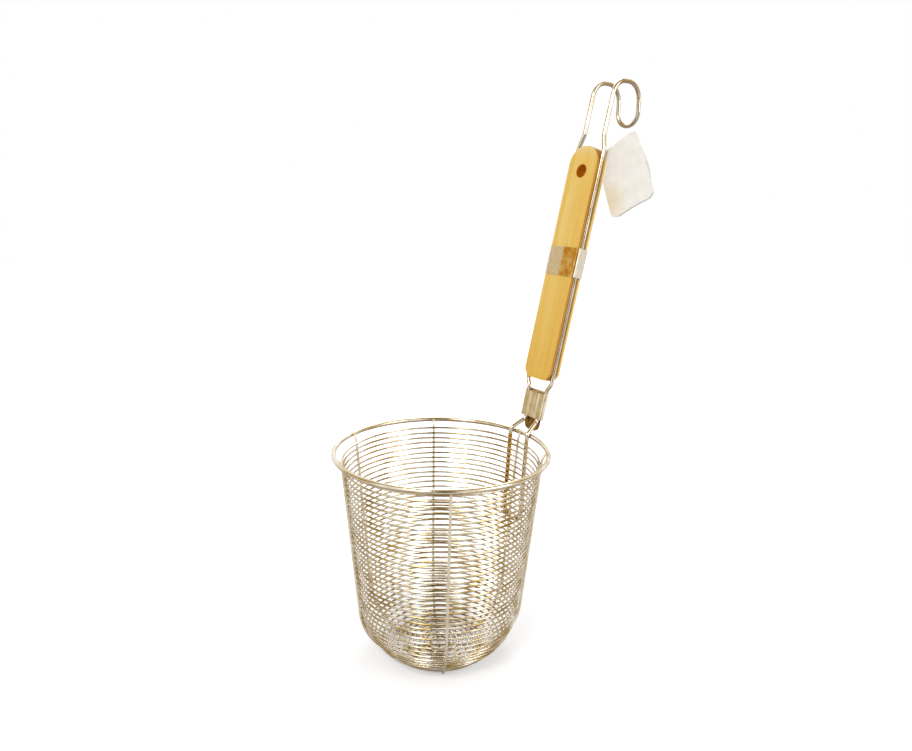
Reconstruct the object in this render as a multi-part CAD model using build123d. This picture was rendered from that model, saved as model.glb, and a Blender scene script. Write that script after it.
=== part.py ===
"""Noodle strainer basket: a wire basket on a wooden handle that ends in a hanging hook.

Millimetres. Z is up, the origin is on the basket's axis at the table, and the handle leans
towards +X. The basket stands on the feet of its ribs.
"""
from build123d import *
import math
import os

# Rim
RIM_DIAMETER = 145.0         # over the outside of the rim wire
RIM_WIRE = 3.2
RIM_HEIGHT = 144.9           # middle of the rim wire above the table
RIM_FACETS = 44
RIM_SIDES = 8                # sides of the rim wire's section

# Basket wall: a cone that rounds into a flat floor, measured to the middle of the hoop wires
TOP_HOOP_INSET = 5.7         # from the middle of the rim wire in to the top hoop
TOP_HOOP_DROP = 5.0          # and down to it
KNEE_RADIUS = 53.3           # where the cone's line meets the belly's line
KNEE_HEIGHT = 18.9
KNEE_BEND = 43.0
FLOOR_RADIUS = 34.7          # where the belly's line meets the floor
FLOOR_BEND = 6.5

# Hoops and floor rings
HOOP_WIRE = 1.1
HOOP_PITCH = 3.75            # along the wall
FLOOR_PITCH = 3.85           # along the floor
FLOOR_EYE = 5.8              # radius of the smallest floor ring
HOOP_SIDES = 4               # sides of the hoop wire's section
HOOP_TURN = 45.0             # sets two of those sides along the wall
HOOP_FACETS = 20
FLOOR_FACETS = 16

# Ribs, outside the hoops and under the floor rings
RIB_WIRE = 1.8
RIB_FACETS = 8               # sides of the rib's section
RIB_RISE = 2.0               # straight run above the top hoop before the rib leans out to the rim
RIB_TIP_BEND = 4.0
RIB_FOOT_RADIUS = 6.0        # where the feet of the single ribs stop, from the axis
LONG_RIB_ANGLE = 60.5        # the one rib that runs right across, from back to front
SINGLE_RIB_ANGLES = {"rib_handle_side": 0.0, "rib_back": 119.0, "rib_left": 164.5, "rib_right": 319.5}

# Wood
WOOD_FOOT_OUT = 14.3         # from the middle of the rim wire out to the middle of the wood's lower end
WOOD_FOOT_RISE = 38.2        # and up to it
LEAN = 13.2                  # the handle's lean from upright, in degrees
WOOD_LENGTH = 165.0
WOOD_WIDTH = 26.6
WOOD_THICKNESS = 9.0
WOOD_EDGE = 1.5              # rounding of the long edges
TOP_SHOULDER = (7.0, 8.0)    # cut off each top corner, across and along
FOOT_SHOULDER = (4.0, 5.0)
SHOULDER_ROUNDING = 2.5
GROOVE_WIDTH = 4.4
HANG_HOLE = 9.0
HANG_HOLE_DROP = 17.3        # from the wood's top end down to the hole

# Handle wire, a hairpin whose closed end is bent over as the hook
HANDLE_WIRE = 3.0
GROOVE_INSET = 0.85          # from the wood's narrow side in to the middle of the wire
SLEEVE_LEG = 9.1             # middle of each leg in the sleeve, across from the middle
LEG_SPREADS = 2.5            # the legs begin to spread this far above the sleeve's top
LEG_STRAIGHTENS = 2.0        # below the wood's foot, where the legs are as wide apart as the grooves
LEG_END = 1.0                # from the sleeve's lower end up to the cut ends of the legs
HOOK_HALF_SPREAD = 9.4
JOG_START = 1.0              # below the wood's top end
JOG_END = 9.0                # above the wood's top end
HOOK_RISE = 44.5             # from the wood's top end up to the hook's top
HOOK_DROP = 28.2             # from the hook's top down to its tip
HOOK_REACH = 24.0            # from the leaning legs across to the tip, at the top of the hook
HOOK_BEND = 11.6
WIRE_BEND = 8.0              # the slight bends in the legs
WIRE_FACETS = 8              # sides of the section of the handle's and the bracket's wire

# Bracket wire, a narrow U that ties the basket to the handle
BRACKET_WIRE = 3.0
BRACKET_HALF_SPREAD = 9.0
BRACKET_DROP = 63.9          # from the middle of the rim wire down to the middle of the U's bottom
BRACKET_SHOULDER = 2.0       # above the middle of the rim wire, where the legs turn out over it
BRACKET_BEND = 4.0
BRACKET_EXIT = 2.0           # straight run below the sleeve
BRACKET_END = 1.0            # from the sleeve's top down to the cut ends

# Neck sleeve, sheet metal pressed round the four wire ends
SLEEVE_SHEET = 0.5
SLEEVE_TOP = 9.0             # below the wood's foot
SLEEVE_LENGTH = 19.2
SLEEVE_VALLEY = 6.6          # width of the part pressed flat between the two pairs of wires
VALLEY_SLOPE = 60.0          # of the valley's sides, in degrees
TONGUE_WIDTH = 15.5
TONGUE_LENGTH = 9.4
TONGUE_ROUNDING = 5.0

# Band round the wood
BAND_SHEET = 0.5
BAND_START = 74.5            # from the wood's foot
BAND_HEIGHT = 20.1

# Folded paper tag, held by one corner behind the wood
TAG_WIDTH = 35.0
TAG_LENGTH = 50.0
TAG_BACK_LEAF = 52.0
TAG_PAPER = 0.35
TAG_OPENING = 3.2            # between the free ends of the two leaves
TAG_CREASE = 1.0             # from the fold to where the leaves part
TAG_ACROSS = 17.7            # middle of the fold, across from the middle of the wood
TAG_ALONG = 168.3            # middle of the fold, along from the wood's foot
TAG_TILT = 33.0              # of the leaves, off the wood's length

GAP = 0.05                   # between wires and sheet that touch on the real thing
ROUND_END = 0.2              # how much smaller a bend is than half the spread of the legs that it joins

RIM_RADIUS = (RIM_DIAMETER - RIM_WIRE) / 2
GROOVE_LEG = WOOD_WIDTH / 2 - GROOVE_INSET
FLOOR_HEIGHT = RIB_WIRE + GAP + HOOP_WIRE / 2
TOP_HOOP_RADIUS = RIM_RADIUS - TOP_HOOP_INSET
TOP_HOOP_HEIGHT = RIM_HEIGHT - TOP_HOOP_DROP
LEAN_SIN = math.sin(math.radians(LEAN))
LEAN_COS = math.cos(math.radians(LEAN))

# The handle's own frame: x across, y through the thickness away from the basket, z along the wood.
WOOD_FOOT = (RIM_RADIUS + WOOD_FOOT_OUT, 0, RIM_HEIGHT + WOOD_FOOT_RISE)
HANDLE = Plane(origin=WOOD_FOOT, x_dir=(0, -1, 0), z_dir=(LEAN_SIN, 0, LEAN_COS))


def wall_route(outwards):
    """The basket's half outline moved outwards: top, knee, floor corner and middle, as (r, z)."""
    points = [
        Vector(TOP_HOOP_RADIUS, TOP_HOOP_HEIGHT),
        Vector(KNEE_RADIUS, KNEE_HEIGHT),
        Vector(FLOOR_RADIUS, FLOOR_HEIGHT),
        Vector(0, FLOOR_HEIGHT),
    ]
    runs = [(b - a).normalized() for a, b in zip(points, points[1:])]
    normals = [Vector(-run.Y, run.X) for run in runs]
    before = [normals[0]] + normals
    after = normals + [normals[-1]]
    return [p + (m + n) * (outwards / (1 + m.dot(n))) for p, m, n in zip(points, before, after)]


def facet_ring(radius, height, wire, facets, section_facets, turn):
    """A hoop of flat facets: a many-sided wire section carried round the axis in equal steps."""
    reach = wire / 2 if section_facets > 4 else wire / math.sqrt(2)
    corners = [math.radians(turn + 360 * k / section_facets) for k in range(section_facets)]
    section = [Vector(radius + reach * math.cos(a), 0, height + reach * math.sin(a)) for a in corners]
    stations = [[p.rotate(Axis.Z, 360 * i / facets) for p in section] for i in range(facets)]
    faces = []
    for here, there in zip(stations, stations[1:] + stations[:1]):
        for k in range(section_facets):
            m = (k + 1) % section_facets
            faces.append(Face(Wire.make_polygon([here[k], here[m], there[m], there[k]])))
    return Solid(Shell(faces))


def swept(route, section):
    """A wire with the given section along a route of straight runs and round bends."""
    return sweep(Plane(origin=route @ 0, z_dir=route % 0) * section, path=route)


def from_handle(across, through, along):
    """A point of the handle's frame in the basket's frame."""
    return HANDLE.from_local_coords(Vector(across, through, along))


def both_legs(leg):
    """The leg's points, then the same points mirrored and reversed, so that they join at the end."""
    return leg + [Vector(p.X, -p.Y, p.Z) for p in reversed(leg)]


def hoops():
    """The wall hoops from the top down to the middle of the floor bend, then rings in to the eye."""
    outline = FilletPolyline(*wall_route(0), radius=[KNEE_BEND, FLOOR_BEND])
    _, _, _, bend, floor = [edge.length for edge in outline.edges()]
    wall_count = 1 + int((outline.length - floor - bend / 2) / HOOP_PITCH)
    stations = {f"hoop_{i + 1:02d}": (HOOP_PITCH * i, HOOP_FACETS) for i in range(wall_count)}
    inwards = outline.length - HOOP_PITCH * (wall_count - 1)
    ring_count = int((inwards - FLOOR_EYE) / FLOOR_PITCH)
    for i in range(ring_count):
        station = outline.length - FLOOR_EYE - FLOOR_PITCH * (ring_count - 1 - i)
        stations[f"floor_ring_{i + 1}"] = (station, FLOOR_FACETS)
    rings = {}
    for name, (station, facets) in stations.items():
        place = outline.position_at(station, position_mode=PositionMode.LENGTH)
        run = outline.tangent_at(station, position_mode=PositionMode.LENGTH)
        turn = math.degrees(math.atan2(run.Y, run.X)) + HOOP_TURN
        rings[name] = facet_ring(place.X, place.Y, HOOP_WIRE, facets, HOOP_SIDES, turn)
    return rings


def rim_ring():
    """The heavy wire that stiffens the basket's mouth."""
    return facet_ring(RIM_RADIUS, RIM_HEIGHT, RIM_WIRE, RIM_FACETS, RIM_SIDES, 180 / RIM_SIDES)


def rib_half():
    """Half of a rib as (r, z) points with its bends, from the tip inside the rim to the floor corner."""
    outwards = (HOOP_WIRE + RIB_WIRE) / 2 + GAP
    top, knee, corner, _ = wall_route(outwards)
    turn_out = top + (top - knee).normalized() * RIB_RISE
    to_rim = Vector(RIM_RADIUS * math.cos(math.pi / RIM_FACETS), RIM_HEIGHT) - turn_out
    beside_rim = (RIM_WIRE + RIB_WIRE) / 2 + GAP
    lean = math.atan2(to_rim.X, to_rim.Y) - math.asin(beside_rim / to_rim.length)
    tip = turn_out + Vector(math.sin(lean), math.cos(lean)) * math.sqrt(to_rim.length ** 2 - beside_rim ** 2)
    return [tip, turn_out, knee, corner], [RIB_TIP_BEND, KNEE_BEND + outwards, FLOOR_BEND + outwards]


def rib_section():
    """The rib wire's section."""
    return RegularPolygon(RIB_WIRE / 2, RIB_FACETS, major_radius=False, rotation=180 / RIB_FACETS)


def rib_single(angle):
    """A rib that comes down the wall and stops short of the axis under the floor."""
    points, bends = rib_half()
    foot = Vector(RIB_FOOT_RADIUS, points[-1].Y)
    route = Plane.XZ * FilletPolyline(*points, foot, radius=bends)
    return Rot(0, 0, angle) * swept(route, rib_section())


def rib_across():
    """The long rib, from the rim down the back, under the floor and up the front."""
    points, bends = rib_half()
    far_side = [Vector(-p.X, p.Y) for p in reversed(points)]
    route = Plane.XZ * FilletPolyline(*points, *far_side, radius=bends + bends[::-1])
    return Rot(0, 0, LONG_RIB_ANGLE) * swept(route, rib_section())


def bracket_wire():
    """A U of wire outside the hoops: it lies over the handle side's rib, and its legs go over the rim."""
    spread = BRACKET_HALF_SPREAD
    beside = (HOOP_WIRE + BRACKET_WIRE) / 2 + GAP
    top, knee, _, _ = wall_route(0)
    slope = (top.X - knee.X) / (top.Y - knee.Y)
    foot_height = RIM_HEIGHT - BRACKET_DROP
    shoulder_height = RIM_HEIGHT + BRACKET_SHOULDER
    hoop_here = top.X - (top.Y - foot_height) * slope
    over_rib = hoop_here + beside + RIB_WIRE + 2 * GAP
    at_top = math.sqrt((top.X + beside) ** 2 - spread ** 2) + GAP
    rise = (at_top - over_rib) / (top.Y - foot_height)
    shoulder = at_top + rise * (shoulder_height - top.Y)
    inner = SLEEVE_LEG - HANDLE_WIRE / 2 - BRACKET_WIRE / 2 - GAP
    leg = [
        from_handle(-inner, 0, -SLEEVE_TOP - BRACKET_END),
        from_handle(-inner, 0, -SLEEVE_TOP - SLEEVE_LENGTH - BRACKET_EXIT),
        Vector(shoulder, spread, shoulder_height),
        Vector(over_rib, spread, foot_height),
    ]
    bends = [BRACKET_BEND, BRACKET_BEND, spread - ROUND_END]
    route = FilletPolyline(*both_legs(leg), radius=bends + bends[::-1])
    return swept(route, RegularPolygon(BRACKET_WIRE / 2, WIRE_FACETS))


def handle_wire():
    """One wire: two legs from the sleeve up the wood's grooves, over the top and closed as a hook."""
    legs_top = from_handle(0, 0, WOOD_LENGTH + HOOK_RISE / LEAN_COS)
    tip = legs_top + Vector(HOOK_REACH, HOOK_HALF_SPREAD, -HOOK_DROP)
    leg = [
        from_handle(-SLEEVE_LEG, 0, -SLEEVE_TOP - SLEEVE_LENGTH + LEG_END),
        from_handle(-SLEEVE_LEG, 0, -SLEEVE_TOP + LEG_SPREADS),
        from_handle(-GROOVE_LEG, 0, -LEG_STRAIGHTENS),
        from_handle(-GROOVE_LEG, 0, WOOD_LENGTH - JOG_START),
        from_handle(-HOOK_HALF_SPREAD, 0, WOOD_LENGTH + JOG_END),
        legs_top + Vector(0, HOOK_HALF_SPREAD, 0),
        legs_top + Vector(HOOK_REACH, HOOK_HALF_SPREAD, 0),
        tip,
    ]
    bends = [WIRE_BEND] * 4 + [HOOK_BEND] * 2 + [HOOK_HALF_SPREAD - ROUND_END]
    route = FilletPolyline(*both_legs(leg), radius=bends + bends[::-1])
    return swept(route, RegularPolygon(HANDLE_WIRE / 2, WIRE_FACETS))


def wood_handle():
    """The wooden slab: a grooved strip with its corners cut off and a hanging hole."""
    strip = RectangleRounded(WOOD_WIDTH, WOOD_THICKNESS, WOOD_EDGE)
    groove_floor = GROOVE_LEG - HANDLE_WIRE / 2 - GAP
    for side in (-1, 1):
        strip -= Pos(side * (groove_floor + WOOD_WIDTH / 2), 0) * Rectangle(WOOD_WIDTH, GROOVE_WIDTH)
    wood = extrude(strip, WOOD_LENGTH)
    half = WOOD_WIDTH / 2
    right = [
        (half - FOOT_SHOULDER[0], 0),
        (half, FOOT_SHOULDER[1]),
        (half, WOOD_LENGTH - TOP_SHOULDER[1]),
        (half - TOP_SHOULDER[0], WOOD_LENGTH),
    ]
    outline = Polygon(*right, *[(-x, z) for x, z in reversed(right)], align=None)
    outline = fillet(outline.vertices(), SHOULDER_ROUNDING)
    wood &= extrude(Plane.XZ * outline, WOOD_THICKNESS, both=True)
    hole = Rot(90, 0, 0) * Cylinder(HANG_HOLE / 2, 2 * WOOD_THICKNESS)
    wood -= Pos(0, 0, WOOD_LENGTH - HANG_HOLE_DROP) * hole
    return HANDLE * wood


def wood_band():
    """Sheet metal wrapped round the wood and both wires."""
    width = 2 * (GROOVE_LEG + HANDLE_WIRE / 2 + GAP)
    thickness = WOOD_THICKNESS + 2 * GAP
    inside = RectangleRounded(width, thickness, WOOD_EDGE)
    outside = RectangleRounded(width + 2 * BAND_SHEET, thickness + 2 * BAND_SHEET, WOOD_EDGE + BAND_SHEET)
    return HANDLE * Pos(0, 0, BAND_START) * extrude(outside - inside, BAND_HEIGHT)


def neck_sleeve():
    """Sheet pressed round two pairs of wires and flat between them, its back cut long as a tongue."""
    clear = HANDLE_WIRE / 2 + GAP
    half = clear + SLEEVE_SHEET
    section = SlotCenterToCenter(2 * SLEEVE_LEG, 2 * half)
    pressed = 2 * half - 2 * SLEEVE_SHEET
    valley = Trapezoid(SLEEVE_VALLEY, pressed, VALLEY_SLOPE, align=(Align.CENTER, Align.MAX))
    section -= Pos(0, half - 2 * SLEEVE_SHEET) * Rot(0, 0, 180) * Pos(0, pressed) * valley
    for side in (-1, 1):
        middle = side * (SLEEVE_LEG - HANDLE_WIRE / 2 - GAP / 2)
        section -= Pos(middle, 0) * SlotCenterToCenter(HANDLE_WIRE + GAP, 2 * clear)
    sleeve = Pos(0, 0, -SLEEVE_TOP - SLEEVE_LENGTH) * extrude(section, SLEEVE_LENGTH)
    tongue = Rectangle(TONGUE_WIDTH, TONGUE_LENGTH + SLEEVE_SHEET, align=(Align.CENTER, Align.MAX))
    tongue = fillet(tongue.vertices().group_by(Axis.Y)[0], TONGUE_ROUNDING)
    foot = -SLEEVE_TOP - SLEEVE_LENGTH + SLEEVE_SHEET
    back = Plane(origin=(0, half, foot), x_dir=(-1, 0, 0), z_dir=(0, 1, 0))
    sleeve += back * extrude(tongue, -SLEEVE_SHEET)
    return HANDLE * sleeve


def tag():
    """One sheet of paper folded into two leaves, its nearer leaf against the back of the wood."""
    paper = Polygon(
        (0, 0),
        (TAG_LENGTH, 0),
        (TAG_LENGTH, TAG_PAPER),
        (TAG_CREASE, TAG_PAPER),
        (TAG_BACK_LEAF, TAG_PAPER + TAG_OPENING),
        (TAG_BACK_LEAF, 2 * TAG_PAPER + TAG_OPENING),
        (0, 2 * TAG_PAPER),
        align=None,
    )
    side = Plane(origin=(0, 0, 0), x_dir=(0, 0, -1), z_dir=(1, 0, 0))
    folded = side * extrude(paper, TAG_WIDTH / 2, both=True)
    place = Pos(TAG_ACROSS, WOOD_THICKNESS / 2 + GAP, TAG_ALONG) * Rot(0, -TAG_TILT, 0)
    return HANDLE * place * folded


nodes = hoops()
nodes["rim_ring"] = rim_ring()
nodes["rib_across"] = rib_across()
for rib_name, rib_angle in SINGLE_RIB_ANGLES.items():
    nodes[rib_name] = rib_single(rib_angle)
nodes["bracket_wire"] = bracket_wire()
nodes["handle_wire"] = handle_wire()
nodes["neck_sleeve"] = neck_sleeve()
nodes["wood_handle"] = wood_handle()
nodes["wood_band"] = wood_band()
nodes["tag"] = tag()

os.makedirs("parts", exist_ok=True)
for node_name, shape in nodes.items():
    shape.label = node_name
    export_step(shape, f"parts/{node_name}.step")
    print(f"{node_name:16s} {shape.volume:10.1f} mm3  valid {shape.is_valid}")
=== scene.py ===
# %% [markdown]
# # A noodle strainer basket in bright wire and pale wood
#
# The object is a deep basket of thin wire hoops for boiling one portion of noodles. A heavier wire
# stiffens its mouth, six runs of rib wire carry the hoops, and a folded sleeve of sheet metal joins the
# basket to a wooden handle whose side wires end in a hanging hook.
#
# The solids of the frame set every size and place. The radius and height of each hoop are read from them, and
# the sizes of the bent wires, the wood and the sheets are repeated here. This lesson turns the flat-faceted
# wires into round ones, gives the wood, the sheet metal and the paper their finish, and lights them as on a
# white table.

import math

import bmesh
import bpy
from mathutils import Matrix, Quaternion, Vector


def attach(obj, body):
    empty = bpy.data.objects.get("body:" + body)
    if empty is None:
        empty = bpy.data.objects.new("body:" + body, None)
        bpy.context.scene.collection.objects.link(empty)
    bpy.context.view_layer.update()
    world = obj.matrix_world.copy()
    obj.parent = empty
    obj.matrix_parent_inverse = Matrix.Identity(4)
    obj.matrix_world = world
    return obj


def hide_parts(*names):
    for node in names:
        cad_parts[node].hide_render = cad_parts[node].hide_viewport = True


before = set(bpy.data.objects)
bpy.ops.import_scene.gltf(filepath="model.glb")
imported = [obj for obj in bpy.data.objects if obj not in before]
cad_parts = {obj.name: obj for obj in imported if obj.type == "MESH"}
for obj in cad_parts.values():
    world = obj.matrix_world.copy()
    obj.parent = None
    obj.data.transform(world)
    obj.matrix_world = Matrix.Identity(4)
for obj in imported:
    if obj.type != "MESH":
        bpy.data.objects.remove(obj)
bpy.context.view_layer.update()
MM = 0.001

# %% [markdown]
# ## The camera
#
# The picture was taken from the height of the wood's upper part, half a metre from the basket, with a short
# lens that looks slightly down: the rim is an open ellipse. The camera could be aimed with a target object,
# but an exact place with three turns is easier to keep: round the upright axis, down, and a slight roll.

# %% Place the camera
CAMERA_PLACE = Vector((-0.2706, -0.3915, 0.3140))
CAMERA_HEADING = math.radians(-35.71)
CAMERA_PITCH = math.radians(76.14)
CAMERA_ROLL = math.radians(1.08)
CAMERA_LENS = 29.8               # millimetres, on a sensor of this width
CAMERA_SENSOR = 36.0

camera_data = bpy.data.cameras.new("camera")
camera_data.lens = CAMERA_LENS
camera_data.sensor_width = CAMERA_SENSOR
camera = bpy.data.objects.new("camera", camera_data)
turns = (
    Matrix.Rotation(CAMERA_HEADING, 4, "Z")
    @ Matrix.Rotation(CAMERA_PITCH, 4, "X")
    @ Matrix.Rotation(CAMERA_ROLL, 4, "Z")
)
camera.matrix_world = Matrix.Translation(CAMERA_PLACE) @ turns
bpy.context.scene.collection.objects.link(camera)
bpy.context.scene.camera = camera
bpy.context.scene.view_settings.view_transform = "Standard"
print("camera is", round((CAMERA_PLACE.xy).length, 3), "m from the basket's axis")

# %% [markdown]
# ## Wiring up a material
#
# A finish is a small tree of nodes. Building each tree link by link hides what matters, so a few helpers
# make a node, set its values and join it in one line. What is the same all over a surface is set on the
# shader's own socket; only what varies over the surface gets a link.

# %% Node helpers
def new_material(name):
    """An empty surface material and its shader."""
    material = bpy.data.materials.new(name)
    material.use_nodes = True
    shader = material.node_tree.nodes["Principled BSDF"]
    return material, shader


def add_node(tree, kind, **values):
    """A node of the given kind with some of its properties or input values set."""
    node = tree.nodes.new(kind)
    for key, value in values.items():
        if key in node.inputs:
            node.inputs[key].default_value = value
        else:
            setattr(node, key, value)
    return node


def ramp(tree, factor, *stops):
    """A colour ramp over a factor, its stops given as (place, colour)."""
    node = tree.nodes.new("ShaderNodeValToRGB")
    elements = node.color_ramp.elements
    while len(elements) < len(stops):
        elements.new(0.5)
    for element, (place, colour) in zip(elements, stops):
        element.position = place
        element.color = (*colour, 1.0)
    tree.links.new(factor, node.inputs["Fac"])
    return node.outputs["Color"]


def spread(tree, factor, low, high):
    """A factor from 0 to 1 stretched to lie between two values."""
    node = add_node(tree, "ShaderNodeMapRange")
    node.inputs["To Min"].default_value = low
    node.inputs["To Max"].default_value = high
    tree.links.new(factor, node.inputs["Value"])
    return node.outputs["Result"]


def placed(tree, size=(1.0, 1.0, 1.0), turn=(0.0, 0.0, 0.0), origin=(0.0, 0.0, 0.0), output="Object"):
    """Texture coordinates counted from an origin, along turned axes, in steps of the given size."""
    coordinates = tree.nodes.new("ShaderNodeTexCoord")
    mapping = add_node(tree, "ShaderNodeMapping", vector_type="TEXTURE")
    mapping.inputs["Location"].default_value = origin
    mapping.inputs["Rotation"].default_value = turn
    mapping.inputs["Scale"].default_value = size
    tree.links.new(coordinates.outputs[output], mapping.inputs["Vector"])
    return mapping.outputs["Vector"]


def noise(tree, vector, detail, distortion=0.0):
    """Soft random variation, about one blotch to each step of the given coordinates."""
    node = add_node(tree, "ShaderNodeTexNoise", Scale=1.0, Detail=detail, Distortion=distortion)
    tree.links.new(vector, node.inputs["Vector"])
    return node.outputs["Fac"]


def blended(tree, factor, below, above):
    """Two colours, plain or linked, mixed by a factor."""
    node = add_node(tree, "ShaderNodeMix", data_type="RGBA")
    tree.links.new(factor, node.inputs["Factor"])
    for socket, colour in ((node.inputs["A"], below), (node.inputs["B"], above)):
        if isinstance(colour, tuple):
            socket.default_value = (*colour, 1.0)
        else:
            tree.links.new(colour, socket)
    return node.outputs["Result"]


def fades(tree, value, start, end):
    """A factor that runs from 0 at one value to 1 at another."""
    node = add_node(tree, "ShaderNodeMapRange")
    node.inputs["From Min"].default_value = start
    node.inputs["From Max"].default_value = end
    tree.links.new(value, node.inputs["Value"])
    return node.outputs["Result"]


def split(tree, vector):
    """The X, Y and Z outputs of a vector."""
    node = tree.nodes.new("ShaderNodeSeparateXYZ")
    tree.links.new(vector, node.inputs["Vector"])
    return node.outputs


def length_of(tree, vector):
    """How long a vector is: the distance of a place from its origin."""
    node = add_node(tree, "ShaderNodeVectorMath", operation="LENGTH")
    tree.links.new(vector, node.inputs[0])
    return node.outputs["Value"]


def without_sign(tree, value):
    """A value counted the same on both sides of 0."""
    node = add_node(tree, "ShaderNodeMath", operation="ABSOLUTE")
    tree.links.new(value, node.inputs[0])
    return node.outputs[0]


def product(tree, one, other):
    """One factor times another."""
    node = add_node(tree, "ShaderNodeMath", operation="MULTIPLY")
    tree.links.new(one, node.inputs[0])
    tree.links.new(other, node.inputs[1])
    return node.outputs[0]


RELIEF_DEPTH = 0.1 * MM


def bump(tree, shader, height, strength):
    """Fine relief from a height."""
    node = add_node(tree, "ShaderNodeBump", Strength=strength, Distance=RELIEF_DEPTH)
    tree.links.new(height, node.inputs["Height"])
    tree.links.new(node.outputs["Normal"], shader.inputs["Normal"])


def present_colour(material):
    """The tree, the shader and the colour so far of a finish that gets another layer."""
    tree = material.node_tree
    shader = tree.nodes["Principled BSDF"]
    return tree, shader, shader.inputs["Base Color"].links[0].from_socket

# %% [markdown]
# ## White table, white room
#
# The object stands on a white ground that melts into a white background. A real studio gets this with a
# paper sweep and soft boxes. Here a wide pale floor takes the object's soft shadow. The floor's glow and the
# plain white of the room are for the camera alone; matt surfaces are lit by a grey room and three soft boxes.
#
# Bright wire is a mirror, so its colour is mostly the room's. A picture of a room would do for that, but a
# few flat zones are easier to place: round the horizon one is dark and two are golden, the ceiling is golden,
# and all the rest is white. Each zone stays at its own direction in the room, wherever one looks from.

# %% Floor
FLOOR_REACH = 3.0
FLOOR_COLOUR = (0.86, 0.86, 0.86)
FLOOR_ROUGHNESS = 0.9
GLOW_REACH = (0.10, 0.42)        # metres from the basket's axis, where the glow starts to rise and is full
GLOW_LEVELS = (0.32, 0.60)       # under the basket, where the shadow lies, and far from it

floor_mesh = bpy.data.meshes.new("floor")
corners = [(x * FLOOR_REACH, y * FLOOR_REACH, 0.0) for x, y in ((-1, -1), (1, -1), (1, 1), (-1, 1))]
floor_mesh.from_pydata(corners, [], [(0, 1, 2, 3)])
floor = bpy.data.objects.new("floor", floor_mesh)
bpy.context.scene.collection.objects.link(floor)

floor_finish, floor_shader = new_material("white table")
floor_shader.inputs["Base Color"].default_value = (*FLOOR_COLOUR, 1.0)
floor_shader.inputs["Roughness"].default_value = FLOOR_ROUGHNESS
floor_shader.inputs["Specular IOR Level"].default_value = 0.0
floor_tree = floor_finish.node_tree
far_away = fades(floor_tree, length_of(floor_tree, placed(floor_tree)), *GLOW_REACH)
glow = add_node(floor_tree, "ShaderNodeEmission")
floor_tree.links.new(spread(floor_tree, far_away, *GLOW_LEVELS), glow.inputs["Strength"])
dark = add_node(floor_tree, "ShaderNodeEmission", Strength=0.0)
seen = add_node(floor_tree, "ShaderNodeLightPath")
shown_glow = add_node(floor_tree, "ShaderNodeMixShader")
floor_tree.links.new(seen.outputs["Is Camera Ray"], shown_glow.inputs["Fac"])
floor_tree.links.new(dark.outputs[0], shown_glow.inputs[1])
floor_tree.links.new(glow.outputs[0], shown_glow.inputs[2])
both = add_node(floor_tree, "ShaderNodeAddShader")
floor_tree.links.new(floor_shader.outputs[0], both.inputs[0])
floor_tree.links.new(shown_glow.outputs[0], both.inputs[1])
floor_tree.links.new(both.outputs[0], floor_tree.nodes["Material Output"].inputs["Surface"])
floor_mesh.materials.append(floor_finish)
print("floor reaches", FLOOR_REACH, "m each way")

# %% World
ROOM_LEVEL = 0.62
WHITE = (1.0, 1.0, 1.0)
GOLDEN = (0.50, 0.34, 0.10)
DARK = (0.02, 0.01, 0.002)
CEILING = (0.38, 0.25, 0.08)
CEILING_STARTS = (0.70, 0.95)    # upward share of a direction where the ceiling begins and is full
ROOM_COLOURS = (                 # round the horizon, as a share of the turn from -X over -Y
    (0.000, WHITE),
    (0.090, WHITE),
    (0.109, DARK),
    (0.193, DARK),
    (0.212, WHITE),
    (0.345, WHITE),
    (0.365, GOLDEN),
    (0.452, GOLDEN),
    (0.472, WHITE),
    (0.830, WHITE),
    (0.848, GOLDEN),
    (0.940, GOLDEN),
    (0.958, WHITE),
    (1.000, WHITE),
)

world = bpy.data.worlds.new("room")
bpy.context.scene.world = world
world.use_nodes = True
room = world.node_tree
direction = add_node(room, "ShaderNodeTexCoord")
parts = split(room, direction.outputs["Generated"])
heading = add_node(room, "ShaderNodeMath", operation="ARCTAN2")
room.links.new(parts["Y"], heading.inputs[0])
room.links.new(parts["X"], heading.inputs[1])
sides = ramp(room, fades(room, heading.outputs[0], -math.pi, math.pi), *ROOM_COLOURS)
overhead = fades(room, parts["Z"], *CEILING_STARTS)
rays = add_node(room, "ShaderNodeLightPath")
whole_room = blended(room, overhead, sides, CEILING)
for_gloss = blended(room, rays.outputs["Is Glossy Ray"], (ROOM_LEVEL,) * 3, whole_room)
for_camera = blended(room, rays.outputs["Is Camera Ray"], for_gloss, WHITE)
room.links.new(for_camera, room.nodes["Background"].inputs["Color"])
print("room: glossy rays see", len(ROOM_COLOURS), "stops of colour round the horizon")

# %% Lamps
def soft_box(name, place, target, width, power):
    """A square area lamp that faces a point of the object."""
    data = bpy.data.lights.new(name, "AREA")
    data.size = width
    data.energy = power
    lamp = bpy.data.objects.new(name, data)
    lamp.location = place
    lamp.rotation_euler = (Vector(target) - Vector(place)).to_track_quat("-Z", "Y").to_euler()
    bpy.context.scene.collection.objects.link(lamp)


LAMPS = (                        # name, place, target, width in metres, power in watts
    ("key", (-0.9, -0.5, 1.1), (0.0, 0.0, 0.15), 0.5, 7.0),
    ("fill", (0.5, -1.1, 0.7), (0.05, 0.0, 0.15), 0.6, 4.0),
    ("back", (0.7, 0.9, 1.0), (0.0, 0.0, 0.2), 0.5, 4.0),
)
for lamp_values in LAMPS:
    soft_box(*lamp_values)
print("lamps:", len(LAMPS))
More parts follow.
